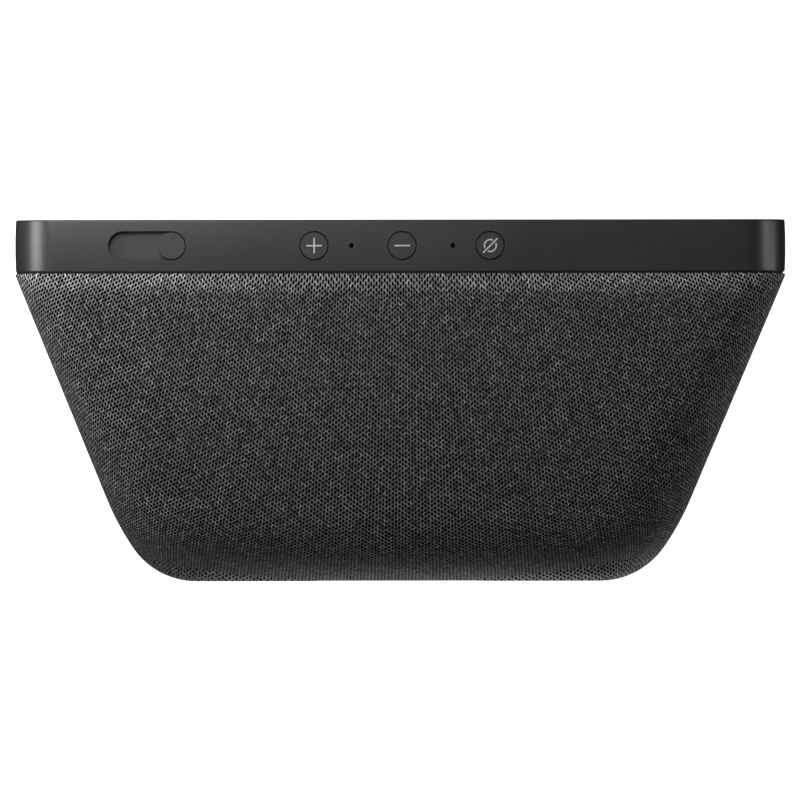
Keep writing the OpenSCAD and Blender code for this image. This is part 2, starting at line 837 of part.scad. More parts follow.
module speaker_box() {
    color("#2c2d30") {
        difference() {
            on_screen() difference() {
                intersection() {
                    across(180) box_profile(0);
                    box_plan(0);
                }
                intersection() {
                    across(180) box_profile(box_wall);
                    box_plan(box_wall);
                }
                // Open on the side that the baffle closes
                translate([0, baffle_d, baffle_s]) rotate([-back_slope, 0, 0]) {
                    for (i = [-1, 1]) translate([i * driver_x, 0, -9]) cylinder(h = 9, r = 25.5);
                    translate([0, 0, -9]) linear_extrude(9) stadium(28, 58);
                }
            }
            at_base_screws(2) cylinder(h = 8, r = 1.15);
        }
        at_base_screws(3.9) difference() {
            cylinder(h = 9, r = 3);
            translate([0, 0, -1]) cylinder(h = 7, r = 1.15);
        }
    }
}

module speaker_baffle() {
    color("#232427") on_baffle() difference() {
        translate([0, 0, -baffle_t]) linear_extrude(baffle_t) polygon([
            [-74, -37], [74, -37], [62, 29], [-62, 29]
        ]);
        for (i = [-1, 1]) translate([i * driver_x, 0, -5]) cylinder(h = 9, r = 24.2);
        translate([0, 0, -5]) linear_extrude(9) radiator_form(opening_w);
    }
}

module driver_frame(side) {
    on_baffle(side * driver_x) rotate_extrude() polygon([
        [22.6, 1.2], [26.2, 1.2], [26.2, 0], [23.7, 0], [23.7, -3], [15.9, -10.6], [15.9, -12.6],
        [8.6, -12.6], [8.6, -11.6], [13.2, -11.6], [13.2, -10], [15, -10], [22.6, -2.6]
    ]);
}

module driver_magnet(side) {
    on_baffle(side * driver_x) rotate_extrude() polygon([
        [0, -20.4], [14, -20.4], [14, -12.6], [8.1, -12.6], [8.1, -15], [9.6, -15],
        [9.6, -18.6], [6.8, -18.6], [6.8, -12.6], [0, -12.6]
    ]);
}

module driver_cone(side) {
    on_baffle(side * driver_x) rotate_extrude() polygon([
        [0, -3.7], [3, -3.9], [5.5, -4.6], [7.3, -6], [7.9, -6.2], [18.8, 1.2],
        [18.8, 0.6], [7.8, -6.9], [7.8, -16.4], [7.3, -16.4],
        [7.3, -6.6], [5.4, -5.1], [3, -4.4], [0, -4.2]
    ]);
}

module driver_surround(side) {
    on_baffle(side * driver_x) rotate_extrude() {
        translate([20.7, 1.2]) difference() {
            circle(1.9);
            circle(1.5);
            translate([-3, -4]) square([6, 4]);
        }
        translate([22.5, 1.2]) square([2, 0.4]);
    }
}

module left_driver_frame() { color("#1b1b1d") driver_frame(-1); }
module left_driver_magnet() { color("#6f7276") driver_magnet(-1); }
module left_driver_cone() { color("#242424") driver_cone(-1); }
module left_driver_surround() { color("#101010") driver_surround(-1); }
module right_driver_frame() { color("#1b1b1d") driver_frame(1); }
module right_driver_magnet() { color("#6f7276") driver_magnet(1); }
module right_driver_cone() { color("#242424") driver_cone(1); }
module right_driver_surround() { color("#101010") driver_surround(1); }

module radiator_frame() {
    color("#1b1b1d") on_baffle() difference() {
        linear_extrude(1.2) radiator_form(26);
        translate([0, 0, -5]) linear_extrude(9) radiator_form(opening_w - 0.8);
    }
}

module radiator_plate() {
    color("#3a3b3d") on_baffle() {
        translate([0, 0, 0.6]) linear_extrude(1) radiator_form(plate_w);
        translate([0, 0, -2.4]) linear_extrude(3.1) stadium(11, 36);
    }
}

module radiator_surround() {
    color("#101010") on_baffle() translate([0, 0, 1.2]) difference() {
        linear_extrude(1.2) radiator_form(opening_w + 0.2);
        translate([0, 0, 0.4]) linear_extrude(2) difference() {
            radiator_form(30);
            radiator_form(20);
        }
        translate([0, 0, -1]) linear_extrude(4) radiator_form(plate_w);
        translate([0, 0, -1]) linear_extrude(1.8) difference() {
            radiator_form(plate_w + 4.8);
            radiator_form(plate_w + 1.2);
        }
    }
}

// ---- Sockets ----
power_r = 3.3;
audio_nose_r = 2.8;
usb_half_w = 3.75;
usb_half_h = 1.3;
usb_wall = 0.3;
usb_back_d = 82;
// The service port's outline, made wider and taller by a little, from one depth to another
module usb_block(from_d, to_d, wider, taller) {
    half_w = usb_half_w + wider;
    half_h = usb_half_h + taller;
    block([usb_x - half_w, from_d, usb_s - half_h], [usb_x + half_w, to_d, usb_s + half_h]);
}

connector_s = 21.6;
connector_end_d = port_floor_d - port_wall - 0.05;
power_x = -14;
power_s = 26;
audio_x = 14;
audio_s = 25.6;
audio_r = 1.8;
audio_len = 14;
usb_x = 0.5;
usb_s = 25.2;
module port_plate() {
    color("#1a1b1c") difference() {
        on_screen() intersection() {
            layer(port_floor_d - port_wall, body_depth + 1) translate([0, port_s])
                rounded(port_w + 2 * port_wall, port_h + 2 * port_wall, 3 + port_wall);
            across(port_w + 4) {
                translate([under_d, under_s]) circle(under_r - port_drop, $fn = 128);
                intersection() {
                    translate([back_c, back_s]) circle(back_r - port_drop, $fn = 128);
                    translate([60, under_s]) square([60, 30]);
                }
                translate([60, 10]) square([body_depth - 60 - 9, 30]);
            }
        }
        port_box(0, port_floor_d, body_depth + 5);
        on_screen() {
            depth_rod(power_x, power_s, body_depth - 12, body_depth, power_r + 0.1);
            depth_rod(audio_x, audio_s, body_depth - 12, body_depth, audio_nose_r + 0.1);
            usb_block(port_floor_d - 3, port_floor_d + 1, 0.15, 0.1);
        }
    }
}

module port_board() {
    color("#17452b") on_screen()
        block([-23, 72, connector_s - 1], [23, connector_end_d - 0.05, connector_s]);
}

module power_inlet() {
    color("#17181a") on_screen() difference() {
        union() {
            block([power_x - 4.5, 75.5, connector_s], [power_x + 4.5, connector_end_d, connector_s + 9]);
            depth_rod(power_x, power_s, port_floor_d - 3.3, port_floor_d - 0.3, power_r);
        }
        depth_rod(power_x, power_s, port_floor_d - 9.5, port_floor_d + 1, 2.85);
    }
}

module power_inlet_pin() {
    color("#c9b77a") on_screen()
        depth_rod(power_x, power_s, port_floor_d - 9.5, port_floor_d - 1.5, 1);
}

module audio_jack() {
    color("#17181a") on_screen() difference() {
        union() {
            block([audio_x - 3.2, 73.5, connector_s], [audio_x + 3.2, connector_end_d, connector_s + 6.6]);
            depth_rod(audio_x, audio_s, port_floor_d - 3.2, port_floor_d - 0.2, audio_nose_r);
        }
        depth_rod(audio_x, audio_s, port_floor_d - audio_len - 0.2, port_floor_d + 1, audio_r);
    }
}

module service_port() {
    color("#b9bcbf") on_screen() {
        difference() {
            usb_block(usb_back_d, port_floor_d - 0.3, 0, 0);
            usb_block(usb_back_d + 1, port_floor_d + 1, -usb_wall, -usb_wall);
        }
        block([usb_x - 3, usb_back_d, connector_s], [usb_x + 3, usb_back_d + 4, usb_s - 1.2]);
        block([usb_x - 1.9, usb_back_d + 0.5, usb_s + 0.1], [usb_x + 1.9, port_floor_d - 1.2, usb_s + 0.7]);
    }
}

front_bezel();
cover_glass();
glass_tape();
touch_sensor();
display_panel();
backlight_tray();
chassis_plate();
chassis_screws();
camera_module();
camera_lens();
camera_board();
light_sensor();
shutter_slider();
shutter_vane();
shutter_guide();
volume_up_button();
volume_down_button();
mute_button();
volume_up_symbol();
volume_down_symbol();
mute_symbol();
button_board();
button_switches();
microphones();
microphone_seals();
main_board();
board_screws();
shield_cans();
board_parts();
thermal_pads();
heat_sink();
antennas();
display_cable();
control_cable();
rear_housing();
fabric_cover();
housing_seal();
sound_grilles();
base_plate();
base_screws();
rubber_foot();
speaker_box();
speaker_baffle();
left_driver_frame();
left_driver_magnet();
left_driver_cone();
left_driver_surround();
right_driver_frame();
right_driver_magnet();
right_driver_cone();
right_driver_surround();
radiator_frame();
radiator_plate();
radiator_surround();
port_plate();
port_board();
power_inlet();
power_inlet_pin();
audio_jack();
service_port();
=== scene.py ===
import bpy
import bmesh
import math
import numpy as np
from mathutils import Matrix, Vector

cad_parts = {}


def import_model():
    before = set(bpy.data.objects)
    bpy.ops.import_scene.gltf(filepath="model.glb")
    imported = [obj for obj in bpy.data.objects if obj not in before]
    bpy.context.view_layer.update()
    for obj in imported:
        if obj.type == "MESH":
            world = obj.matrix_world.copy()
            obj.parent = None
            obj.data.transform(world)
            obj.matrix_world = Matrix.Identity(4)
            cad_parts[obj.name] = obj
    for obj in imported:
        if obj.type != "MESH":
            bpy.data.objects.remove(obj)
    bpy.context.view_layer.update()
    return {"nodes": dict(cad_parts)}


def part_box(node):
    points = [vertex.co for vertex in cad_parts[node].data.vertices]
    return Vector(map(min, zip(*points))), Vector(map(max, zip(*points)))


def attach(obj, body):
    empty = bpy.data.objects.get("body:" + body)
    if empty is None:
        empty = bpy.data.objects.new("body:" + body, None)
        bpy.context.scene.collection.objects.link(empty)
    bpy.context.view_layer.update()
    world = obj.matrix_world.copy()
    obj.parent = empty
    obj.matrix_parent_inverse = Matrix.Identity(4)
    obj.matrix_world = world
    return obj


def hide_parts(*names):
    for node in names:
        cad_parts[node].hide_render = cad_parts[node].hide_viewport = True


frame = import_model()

MM = 0.001


# ---------------------------------------------------------------- frames of reference
# The screen's frame: x along the width, d depth behind the slab's front, s height up the slab.
# Lengths are in millimetres here, and MM turns them into the metres of the row frame.
TILT = math.radians(11)
CT, ST = math.cos(TILT), math.sin(TILT)
FOOT_T = 2.5
SLAB_T = 13.65
SEAM = 0.35
BODY_DEPTH = 94.0
HEIGHT = 135.9
WIDTH = (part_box("front_bezel")[1].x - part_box("front_bezel")[0].x) / MM
HALF_W = WIDTH / 2
LIFT = FOOT_T + SLAB_T * ST
SLAB_H = (HEIGHT - LIFT) / CT
SEAM_D = SLAB_T + SEAM

# The body's profile, the same curves as the housing's: from the seam a small round leads to a
# straight slope, which a large round turns down to the rear
EDGE_R = 7.0
EDGE_D = SEAM_D + 0.7
BACK_SLOPE = math.radians(45.5)
BACK_R = 62.0
UNDER_R = 15.0
SIDE_SLOPE = math.radians(22.2)
CORNER_R = 20.0
LEAD_R = 70.0
BEND = SIDE_SLOPE + math.radians(12)
SIDE_R = 2.0
# The section's corners, which open out from the slab's own over the first part of the depth
SLAB_R = 10.5
TOP_CORNER = 20.0
LOW_CORNER = 14.0
OPEN_OUT_D = 50.0
BACK_C = BODY_DEPTH - BACK_R
SLOPE_D = EDGE_D + EDGE_R * math.sin(BACK_SLOPE)
SLOPE_S = SLAB_H - EDGE_R + EDGE_R * math.cos(BACK_SLOPE)
TURN_D = BACK_C + BACK_R * math.sin(BACK_SLOPE)
BACK_S = SLOPE_S - math.tan(BACK_SLOPE) * (TURN_D - SLOPE_D) - BACK_R * math.cos(BACK_SLOPE)
UNDER_D = BODY_DEPTH - UNDER_R
BASE_S = -SLAB_T * math.tan(TILT)
UNDER_S = BASE_S + UNDER_D * math.tan(TILT) + UNDER_R / CT
CORNER_D = BODY_DEPTH - CORNER_R
LEAD_D = CORNER_D - (LEAD_R - CORNER_R) * math.sin(BEND)
TAPER_END = LEAD_D + LEAD_R * math.sin(SIDE_SLOPE)
TAPER_W = (HALF_W - SIDE_R + SIDE_R * math.cos(SIDE_SLOPE)
           - math.tan(SIDE_SLOPE) * (TAPER_END - SEAM_D - SIDE_R * math.sin(SIDE_SLOPE)))
LEAD_W = TAPER_W - LEAD_R * math.cos(SIDE_SLOPE)
CORNER_W = LEAD_W + (LEAD_R - CORNER_R) * math.cos(BEND)
FRONT_Y = -(BACK_C * CT + BACK_S * ST + BACK_R) / 2


def world(x, d, s):
    """A point of the screen's frame, in millimetres, as a point of the row frame, in metres."""
    return Vector((x * MM, (FRONT_Y + d * CT + s * ST) * MM, (LIFT + s * CT - d * ST) * MM))


SCREEN = Matrix((
    (1, 0, 0, 0),
    (0, CT, ST, FRONT_Y * MM),
    (0, -ST, CT, LIFT * MM),
    (0, 0, 0, 1),
))


# A surface is given by its depth d and by e, how far it lies inside the outer one
def top_s(d, e):
    """Height of the body's top, along its middle."""
    if d <= EDGE_D:
        return SLAB_H - e
    if d <= EDGE_D + (EDGE_R - e) * math.sin(BACK_SLOPE):
        return SLAB_H - EDGE_R + math.sqrt((EDGE_R - e) ** 2 - (d - EDGE_D) ** 2)
    if d <= BACK_C + (BACK_R - e) * math.sin(BACK_SLOPE):
        return SLOPE_S - e / math.cos(BACK_SLOPE) - (d - SLOPE_D) * math.tan(BACK_SLOPE)
    return BACK_S + math.sqrt(max(0, (BACK_R - e) ** 2 - (d - BACK_C) ** 2))


def bottom_s(d, e):
    """Height of the body's underside, along its middle."""
    if d <= UNDER_D + (UNDER_R - e) * ST:
        return max(e, BASE_S + d * math.tan(TILT) + e / CT)
    return UNDER_S - math.sqrt(max(0, (UNDER_R - e) ** 2 - (d - UNDER_D) ** 2))


def side_w(d, e):
    """Half of the body's width."""
    if d <= SEAM_D:
        return HALF_W - e
    if d <= SEAM_D + (SIDE_R - e) * math.sin(SIDE_SLOPE):
        return HALF_W - SIDE_R + math.sqrt((SIDE_R - e) ** 2 - (d - SEAM_D) ** 2)
    if d <= LEAD_D + (LEAD_R - e) * math.sin(SIDE_SLOPE):
        return TAPER_W - e / math.cos(SIDE_SLOPE) - (d - TAPER_END) * math.tan(SIDE_SLOPE)
    if d <= LEAD_D + (LEAD_R - e) * math.sin(BEND):
        return LEAD_W + math.sqrt((LEAD_R - e) ** 2 - (d - LEAD_D) ** 2)
    return CORNER_W + math.sqrt(max(0, (CORNER_R - e) ** 2 - (d - CORNER_D) ** 2))


def corner_radius(d, final):
    """A corner's radius at depth d, on its way from the slab's to its final one."""
    return SLAB_R + (final - SLAB_R) * min(1, max(0, (d - SEAM_D) / OPEN_OUT_D))


# ---------------------------------------------------------------- mesh helpers
# How far a cutter passes a surface that it opens, and the steps round a hole's lip
CLEAR = 1.0
LIP_STEPS = 6


def new_object(name, points, faces):
    mesh = bpy.data.meshes.new(name)
    mesh.from_pydata([tuple(p) for p in points], [], faces)
    mesh.validate()
    obj = bpy.data.objects.new(name, mesh)
    bpy.context.scene.collection.objects.link(obj)
    return obj


def shade(obj, degrees):
    """Smooth shading, with edges sharper than this angle kept."""
    mesh = obj.data
    mesh.polygons.foreach_set("use_smooth", [True] * len(mesh.polygons))
    bm = bmesh.new()
    bm.from_mesh(mesh)
    limit = math.radians(degrees)
    for edge in bm.edges:
        edge.smooth = len(edge.link_faces) == 2 and edge.calc_face_angle(0) < limit
    bm.to_mesh(mesh)
    bm.free()


def apply_modifiers(obj):
    """Keeps the result of the modifiers as the mesh."""
    bpy.context.view_layer.update()
    graph = bpy.context.evaluated_depsgraph_get()
    mesh = bpy.data.meshes.new_from_object(obj.evaluated_get(graph))
    obj.modifiers.clear()
    old = obj.data
    obj.data = mesh
    bpy.data.meshes.remove(old)


def boolean(obj, cutters, operation="DIFFERENCE"):
    """Cuts the closed meshes away from the object, or joins them to it, and removes them."""
    for cutter in cutters:
        step = obj.modifiers.new("cut", "BOOLEAN")
        step.operation, step.solver, step.object = operation, "EXACT", cutter
    apply_modifiers(obj)
    for cutter in cutters:
        mesh = cutter.data
        bpy.data.objects.remove(cutter)
        bpy.data.meshes.remove(mesh)


def loft(name, rings):
    """A closed mesh through rings of the same number of points, with a face on each end."""
    n = len(rings[0])
    faces = []
    for i in range(len(rings) - 1):
        for k in range(n):
            after = (k + 1) % n
            faces.append((i * n + k, i * n + after, (i + 1) * n + after, (i + 1) * n + k))
    faces.append(tuple(range(n - 1, -1, -1)))
    faces.append(tuple((len(rings) - 1) * n + k for k in range(n)))
    obj = new_object(name, [p for ring in rings for p in ring], faces)
    bm = bmesh.new()
    bm.from_mesh(obj.data)
    bmesh.ops.recalc_face_normals(bm, faces=bm.faces)
    bm.to_mesh(obj.data)
    bm.free()
    return obj


def stadium(cx, cd, length, w, steps=24):
    """The outline of a slot along x, as (x, d); with length equal to w it is a circle."""
    r, half = w / 2, (length - w) / 2
    ring = []
    for side, start in ((1, -90), (-1, 90)):
        for i in range(steps + (half > 1e-9)):
            a = math.radians(start + 180 * i / steps)
            ring.append((cx + side * half + r * math.cos(a), cd + r * math.sin(a)))
    return ring


def flared_hole(name, cx, cd, length, w, top, low, edge):
    """A cutter for a hole with a rounded lip: straight below, and flaring out at the surface."""
    rings = [[world(x, d, low) for x, d in stadium(cx, cd, length, w)]]
    for i in range(LIP_STEPS + 1):
        a = math.radians(90 * i / LIP_STEPS)
        out = 2 * edge * (1 - math.cos(a))
        s = top - edge + edge * math.sin(a)
        rings.append([world(x, d, s) for x, d in stadium(cx, cd, length + out, w + out)])
    wide = stadium(cx, cd, length + 2 * edge, w + 2 * edge)
    rings.append([world(x, d, top + CLEAR) for x, d in wide])
    return loft(name, rings)


# ---------------------------------------------------------------- material helpers
class Tree:
    """A small helper that adds nodes to one material."""

    def __init__(self, name):
        self.material = bpy.data.materials.new(name)
        self.material.use_nodes = True
        self.nodes = self.material.node_tree.nodes
        self.links = self.material.node_tree.links
        self.shader = self.nodes["Principled BSDF"]

    def add(self, kind, inputs=(), **settings):
        node = self.nodes.new(kind)
        for key, value in settings.items():
            setattr(node, key, value)
        for key, value in dict(inputs).items():
            if isinstance(value, bpy.types.NodeSocket):
                self.links.new(value, node.inputs[key])
            else:
                node.inputs[key].default_value = value
        return node

    def vector_math(self, operation, a, b):
        return self.add("ShaderNodeVectorMath", {0: a, 1: b}, operation=operation).outputs[0]

    def math(self, operation, a, b=0.0, c=0.0):
        return self.add("ShaderNodeMath", {0: a, 1: b, 2: c}, operation=operation).outputs[0]

    def ramp(self, factor, stops):
        node = self.add("ShaderNodeValToRGB", {"Fac": factor})
        ramp = node.color_ramp
        while len(ramp.elements) < len(stops):
            ramp.elements.new(0.5)
        for element, (position, value) in zip(ramp.elements, stops):
            element.position = position
            element.color = (*value, 1) if hasattr(value, "__len__") else (value, value, value, 1)
        return node.outputs["Color"]

    def noise(self, scale, detail, roughness, vector=None):
        inputs = {"Scale": scale, "Detail": detail, "Roughness": roughness}
        inputs["Vector"] = vector or self.place()
        return self.add("ShaderNodeTexNoise", inputs).outputs["Fac"]

    def place(self):
        """A point's place on its own object, in metres."""
        return self.add("ShaderNodeTexCoord").outputs["Object"]

    def bump(self, height, distance, strength):
        inputs = {"Height": height, "Distance": distance, "Strength": strength}
        return self.add("ShaderNodeBump", inputs).outputs["Normal"]

    def set(self, **values):
        """Sets or links sockets of the shader by short names, and returns the material."""
        names = {
            "color": "Base Color", "rough": "Roughness", "metal": "Metallic", "normal": "Normal",
            "specular": "Specular IOR Level", "coat": "Coat Weight", "coat_rough": "Coat Roughness",
        }
        for key, value in values.items():
            socket = self.shader.inputs[names[key]]
            if isinstance(value, bpy.types.NodeSocket):
                self.links.new(value, socket)
            elif key == "color":
                socket.default_value = (*value, 1)
            else:
                socket.default_value = value
        return self.material


def plastic(name, color, rough=0.5, grain=9000, depth=0.00001, vary=0.12, specular=0.5):
    """Moulded plastic: a fine texture, and a slight change of shade and gloss."""
    t = Tree(name)
    low = tuple(c * (1 - vary) for c in color)
    high = tuple(c * (1 + vary) for c in color)
    broad = t.noise(60, 3, 0.6)
    fine = t.noise(grain, 2, 0.6)
    mixed = t.math("MULTIPLY_ADD", fine, 0.6, t.math("MULTIPLY", broad, 0.4))
    return t.set(
        color=t.ramp(mixed, [(0.3, low), (0.7, high)]),
        rough=t.ramp(broad, [(0.3, rough * 0.94), (0.7, min(1, rough * 1.06))]),
        normal=t.bump(fine, depth, 0.5), specular=specular)


def metal(name, color, rough=0.35, brushed=True, depth=0.00001):
    """Rolled or brushed metal, its lines along the width."""
    t = Tree(name)
    stretched = t.add("ShaderNodeMapping", {
        "Vector": t.place(), "Scale": (40, 1400, 1400) if brushed else (500, 500, 500)}).outputs[0]
    lines = t.noise(6, 4, 0.7, stretched)
    wear = t.noise(45, 3, 0.6)
    low = tuple(c * 0.82 for c in color)
    return t.set(
        color=t.ramp(t.math("MULTIPLY_ADD", lines, 0.5, t.math("MULTIPLY", wear, 0.5)),
                     [(0.3, low), (0.7, color)]),
        rough=t.ramp(lines, [(0.3, rough * 0.8), (0.7, rough * 1.2)]),
        normal=t.bump(lines, depth, 0.5), metal=1.0)


def rubber(name, color, rough=0.8, depth=0.00003):
    """Matt rubber or foam, with pores and a little dust."""
    t = Tree(name)
    pores = t.noise(3500, 3, 0.7)
    dust = t.noise(90, 4, 0.65)
    low = tuple(c * 0.8 for c in color)
    high = tuple(c * 1.35 for c in color)
    return t.set(color=t.ramp(dust, [(0.35, low), (0.75, high)]),
                 rough=t.ramp(dust, [(0.3, rough * 0.9), (0.7, min(1, rough * 1.1))]),
                 normal=t.bump(pores, depth, 0.6))


def board(name, color):
    """Solder mask, with copper tracks that just show through it."""
    t = Tree(name)
    tracks = t.add("ShaderNodeTexBrick", {
        "Vector": t.place(), "Scale": 260.0, "Mortar Size": 0.02, "Bias": -0.2,
        "Color1": (*color, 1), "Color2": (*tuple(c * 1.35 for c in color), 1),
        "Mortar": (*tuple(c * 2.1 for c in color), 1)}).outputs["Color"]
    speck = t.noise(2600, 2, 0.5)
    return t.set(color=tracks, rough=t.ramp(speck, [(0.3, 0.3), (0.7, 0.42)]),
                 normal=t.bump(speck, 0.000008, 0.5), coat=0.3)


def glass(name, color, rough=0.03):
    """Polished cover glass, black behind, with the faintest ripple and smudges."""
    t = Tree(name)
    smudge = t.noise(25, 4, 0.6)
    ripple = t.noise(9, 1, 0.4)
    high = tuple(c * 1.3 for c in color)
    return t.set(color=t.ramp(ripple, [(0.3, color), (0.7, high)]),
                 rough=t.ramp(smudge, [(0.35, rough), (0.8, rough * 2.2)]),
                 normal=t.bump(ripple, 0.00001, 0.15), coat=0.5, coat_rough=0.02)


def paper(name, color):
    """A pulp cone: fibres round a pressed surface."""
    t = Tree(name)
    fibre = t.noise(1800, 5, 0.75)
    low, high = tuple(c * 0.7 for c in color), tuple(c * 1.5 for c in color)
    return t.set(color=t.ramp(fibre, [(0.3, low), (0.7, high)]),
                 rough=t.ramp(fibre, [(0.3, 0.7), (0.7, 0.9)]),
                 normal=t.bump(fibre, 0.00006, 0.6))


def painted(name, color, rough=0.45):
    """Printed ink, slightly uneven."""
    t = Tree(name)
    grain = t.noise(7000, 2, 0.6)
    low = tuple(c * 0.9 for c in color)
    return t.set(color=t.ramp(grain, [(0.3, low), (0.7, color)]),
                 rough=t.ramp(grain, [(0.3, rough), (0.7, rough * 1.2)]),
                 normal=t.bump(grain, 0.000005, 0.4))


# The two ends of the slab's speckle
SLAB_LOW = (0.0185, 0.0185, 0.0187)
SLAB_HIGH = (0.0425, 0.0425, 0.0427)


def slab_material():
    """The slab's satin charcoal: a fine speckle in shade, gloss and relief."""
    t = Tree("slab_satin")
    speckle = t.noise(5200, 3, 0.65)
    broad = t.noise(35, 3, 0.55)
    mixed = t.math("MULTIPLY_ADD", speckle, 0.75, t.math("MULTIPLY", broad, 0.25))
    return t.set(
        color=t.ramp(mixed, [(0.38, SLAB_LOW), (0.62, SLAB_HIGH)]),
        rough=t.ramp(mixed, [(0.3, 0.33), (0.7, 0.39)]),
        normal=t.bump(speckle, 0.000012, 0.45), specular=0.5)


# How strongly the columns and the slanted yarns between them show
KNIT_COLUMN = 1.3
KNIT_CROSSING = 1.1
# These bring the sum of the waves to about 0 in a hole and 1 where the yarns lie
NET_SPAN = 4.5
NET_LIFT = 0.667
# The shade of a hole, of its edge, of a yarn, and of a place where yarns cross
KNIT_HOLE = 0.0
KNIT_MID = 0.046
KNIT_YARN = 0.2
KNIT_CROSS = 0.32
# The range over which a loop strays from its place, in columns or rows, and three changes of
# shade: from loop to loop, over broad patches, and in the few loops that catch the light
KNIT_STRAY = 0.16
KNIT_UNEVEN = 1.1
KNIT_PATCHY = 0.4
KNIT_FLECK = 1.2
# The painted shade at the seam, where the lamps fall more strongly on the curved edge, the rows over which
# it fades back to full, and the relief in metres
PAINTED_EDGE_SHADE = 0.7
EDGE_SHADE_ROWS = (0.3, 4.5)
KNIT_RELIEF = 0.0003


def knit_material():
    """Warp-knitted net: staggered tall holes between thin, shiny yarns.

    The map's u counts columns and v counts rows, so one unit of each holds two holes."""
    t = Tree("knit")
    uv = t.add("ShaderNodeUVMap", uv_map="knit").outputs["UV"]
    # Loops are never quite even
    wobble = t.add("ShaderNodeTexNoise", {
        "Vector": uv, "Scale": 1.3, "Detail": 1.0, "Roughness": 0.5}).outputs["Color"]
    wobble = t.vector_math("SUBTRACT", wobble, (0.5, 0.5, 0.5))
    wobble = t.vector_math("MULTIPLY", wobble, (KNIT_STRAY, KNIT_STRAY, 0))
    at = t.vector_math("ADD", uv, wobble)
    parts = t.add("ShaderNodeSeparateXYZ", {0: at})
    across, along = parts.outputs["X"], parts.outputs["Y"]

    def wave(value, turns):
        return t.math("COSINE", t.math("MULTIPLY", value, 2 * math.pi * turns))

    # Three sets of lines cross: this is 0 at the middle of a hole and 1 where the yarns lie
    crossing = t.math("MULTIPLY", wave(across, 1), wave(along, 1))
    net = t.math("MULTIPLY", crossing, -2 * KNIT_CROSSING)
    net = t.math("MULTIPLY_ADD", wave(across, 2), -KNIT_COLUMN, net)
    net = t.math("MULTIPLY_ADD", net, 1 / NET_SPAN, NET_LIFT)
    fibre = t.noise(7.0, 3.0, 0.7, uv)
    patch = t.noise(0.35, 2.0, 0.6, uv)
    frayed = t.math("MULTIPLY_ADD", t.math("SUBTRACT", fibre, 0.5), 0.5, net)
    shade_of = t.ramp(frayed, [
        (0.52, KNIT_HOLE), (0.68, KNIT_MID), (0.83, KNIT_YARN), (0.96, KNIT_CROSS)])
    # Each loop has its own shade, and a few catch the light
    loop = t.add("ShaderNodeVectorMath", {0: t.vector_math("MULTIPLY", at, (2, 2, 1))}, operation="FLOOR")
    cell = t.add("ShaderNodeTexWhiteNoise", {"Vector": loop.outputs[0]},
                 noise_dimensions="2D").outputs["Value"]
    gain = t.math("MULTIPLY_ADD", patch, KNIT_PATCHY, 1 - KNIT_PATCHY / 2 - KNIT_UNEVEN / 2)
    gain = t.math("MULTIPLY_ADD", cell, KNIT_UNEVEN, gain)
    fleck = t.math("MULTIPLY", t.math("GREATER_THAN", cell, 0.95), t.math("GREATER_THAN", fibre, 0.5))
    gain = t.math("MULTIPLY_ADD", fleck, KNIT_FLECK, gain)
    # Painted shade: the first rows, on the curved edge by the seam, are darkened because the lamps fall
    # more strongly on them there
    first = t.add("ShaderNodeMapRange", {
        "Value": t.add("ShaderNodeSeparateXYZ", {0: uv}).outputs["Y"],
        "From Min": EDGE_SHADE_ROWS[0], "From Max": EDGE_SHADE_ROWS[1],
        "To Min": PAINTED_EDGE_SHADE, "To Max": 1.0}).outputs[0]
    gain = t.math("MULTIPLY", gain, first)
    color = t.add("ShaderNodeVectorMath", {0: shade_of, "Scale": gain}, operation="SCALE").outputs[0]
    relief = t.math("MULTIPLY_ADD", fibre, 0.15, t.math("MINIMUM", net, 0.9))
    return t.set(
        color=color, rough=t.ramp(fibre, [(0.3, 0.65), (0.7, 0.85)]),
        normal=t.bump(relief, KNIT_RELIEF, 0.6), specular=t.ramp(frayed, [(0.4, 0.0), (0.8, 0.3)]))


# ---------------------------------------------------------------- the knitted cover
FABRIC_T = 0.9
# The point that the columns fan out from, the angle between columns, and how far from the
# middle the fan opens
FAN_X = -4.0
FAN_D = -243.0
FAN = 0.00536
SETTLE = 150.0
# The row pitch at the seam, its fall per millimetre, where that fall ends, and the pitch behind
ROW = 1.815
TIGHTER = 0.0021
EVEN_FROM = 110.0
REAR_ROW = 1.58
# The middle profile is measured up to this depth, and past it a millimetre of depth counts as
# this much length
END_D = BODY_DEPTH - 0.01
PAST_REAR = 1.5
# Steps round each half of the cover's rolled edge
ROLL_STEPS = 5


def ring_2d(d, e, corner=14, flat=34, tall=22):
    """One section of the body as (x, s), from the middle of the underside and all the way round."""
    w, top, low = side_w(d, e), top_s(d, e), bottom_s(d, e)
    want_t, want_b = corner_radius(d, TOP_CORNER) - e, corner_radius(d, LOW_CORNER) - e
    # Where the section is too low for both corners, they shrink together
    fit = min(1, 0.98 * (top - low) / (want_t + want_b))
    rt, rb = want_t * fit, want_b * fit

    def line(a, b, n):
        return [(a[0] + (b[0] - a[0]) * i / n, a[1] + (b[1] - a[1]) * i / n) for i in range(n)]

    def arc(cx, cs, r, start):
        return [(cx + r * math.cos(math.radians(start + 90 * i / corner)),
                 cs + r * math.sin(math.radians(start + 90 * i / corner))) for i in range(corner)]

    half = (
        line((0, low), (w - rb, low), flat)
        + arc(w - rb, low + rb, rb, -90)
        + line((w, low + rb), (w, top - rt), tall)
        + arc(w - rt, top - rt, rt, 0)
        + line((w - rt, top), (0, top), flat)
    )
    return half + [(0, top)] + [(-x, s) for x, s in reversed(half)]


def middle_profile(step=0.25):
    """Depths from the seam to the rear, and the length of the middle profile up to each."""
    depths, lengths = [SEAM_D], [0.0]
    last = top_s(SEAM_D, 0)
    while depths[-1] < END_D:
        depth = min(depths[-1] + step, END_D)
        now = top_s(depth, 0)
        lengths.append(lengths[-1] + math.hypot(depth - depths[-1], now - last))
        depths.append(depth)
        last = now
    return depths, lengths


PROFILE = middle_profile()


